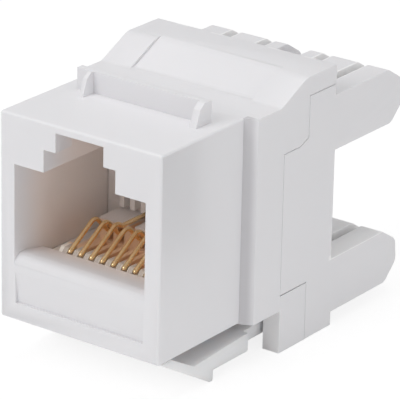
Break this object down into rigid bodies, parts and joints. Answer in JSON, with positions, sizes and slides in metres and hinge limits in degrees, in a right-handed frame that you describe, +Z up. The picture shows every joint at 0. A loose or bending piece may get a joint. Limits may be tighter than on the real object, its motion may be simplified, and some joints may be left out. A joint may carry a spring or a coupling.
{
  "type": "keystone jack",
  "caption": "Snap-in wall plate jack with a modular plug socket, sprung gold contacts and two rows of slots that take cable conductors at the back.",
  "frame": {"origin": "centre of the bounding box's underside, on the surface that the feet and the latch tooth stand on", "axes": "+X across the jack to the right as seen from the plug socket, +Y from the plug socket back to the wire slots, +Z up"},
  "size_m": [0.0168, 0.0296, 0.0215],
  "materials": {
    "housing_plastic": "satin white moulded plastic",
    "carrier_plastic": "satin natural white moulded plastic",
    "contact_gold": "gold plated spring wire",
    "board_laminate": "green glass laminate",
    "terminal_tin": "bright tin plate"
  },
  "bodies": {
    "jack": {"front_housing": "housing_plastic", "contact_carrier": "carrier_plastic", "circuit_board": "board_laminate", "terminal_1": "terminal_tin", "terminal_2": "terminal_tin", "terminal_3": "terminal_tin", "terminal_4": "terminal_tin", "terminal_5": "terminal_tin", "terminal_6": "terminal_tin", "terminal_7": "terminal_tin", "terminal_8": "terminal_tin", "rear_block": "housing_plastic"},
    "latch": {"release_latch": "housing_plastic"},
    "spring_1": {"contact_1": "contact_gold"},
    "spring_2": {"contact_2": "contact_gold"},
    "spring_3": {"contact_3": "contact_gold"},
    "spring_4": {"contact_4": "contact_gold"},
    "spring_5": {"contact_5": "contact_gold"},
    "spring_6": {"contact_6": "contact_gold"},
    "spring_7": {"contact_7": "contact_gold"},
    "spring_8": {"contact_8": "contact_gold"}
  },
  "joints": [
    {"name": "latch_flex", "type": "hinge", "parent": "jack", "child": "latch", "pos_m": [0, -0.01325, 0.0035], "axis": [1, 0, 0], "range_deg": [0, 5.5], "stiffness_Nm_per_rad": 0.5},
    {"name": "contact_1_flex", "type": "hinge", "parent": "jack", "child": "spring_1", "pos_m": [-0.00356, -0.00192, 0.00885], "axis": [1, 0, 0], "range_deg": [0, 7.5], "stiffness_Nm_per_rad": 0.045},
    {"name": "contact_2_flex", "type": "hinge", "parent": "jack", "child": "spring_2", "pos_m": [-0.00254, -0.00192, 0.00885], "axis": [1, 0, 0], "range_deg": [0, 7.5], "stiffness_Nm_per_rad": 0.045},
    {"name": "contact_3_flex", "type": "hinge", "parent": "jack", "child": "spring_3", "pos_m": [-0.00152, -0.00192, 0.01], "axis": [1, 0, 0], "range_deg": [0, 7.5], "stiffness_Nm_per_rad": 0.045},
    {"name": "contact_4_flex", "type": "hinge", "parent": "jack", "child": "spring_4", "pos_m": [-0.00051, -0.00192, 0.00885], "axis": [1, 0, 0], "range_deg": [0, 7.5], "stiffness_Nm_per_rad": 0.045},
    {"name": "contact_5_flex", "type": "hinge", "parent": "jack", "child": "spring_5", "pos_m": [0.00051, -0.00192, 0.00885], "axis": [1, 0, 0], "range_deg": [0, 7.5], "stiffness_Nm_per_rad": 0.045},
    {"name": "contact_6_flex", "type": "hinge", "parent": "jack", "child": "spring_6", "pos_m": [0.00152, -0.00192, 0.01], "axis": [1, 0, 0], "range_deg": [0, 7.5], "stiffness_Nm_per_rad": 0.045},
    {"name": "contact_7_flex", "type": "hinge", "parent": "jack", "child": "spring_7", "pos_m": [0.00254, -0.00192, 0.00885], "axis": [1, 0, 0], "range_deg": [0, 7.5], "stiffness_Nm_per_rad": 0.045},
    {"name": "contact_8_flex", "type": "hinge", "parent": "jack", "child": "spring_8", "pos_m": [0.00356, -0.00192, 0.00885], "axis": [1, 0, 0], "range_deg": [0, 7.5], "stiffness_Nm_per_rad": 0.045}
  ]
}
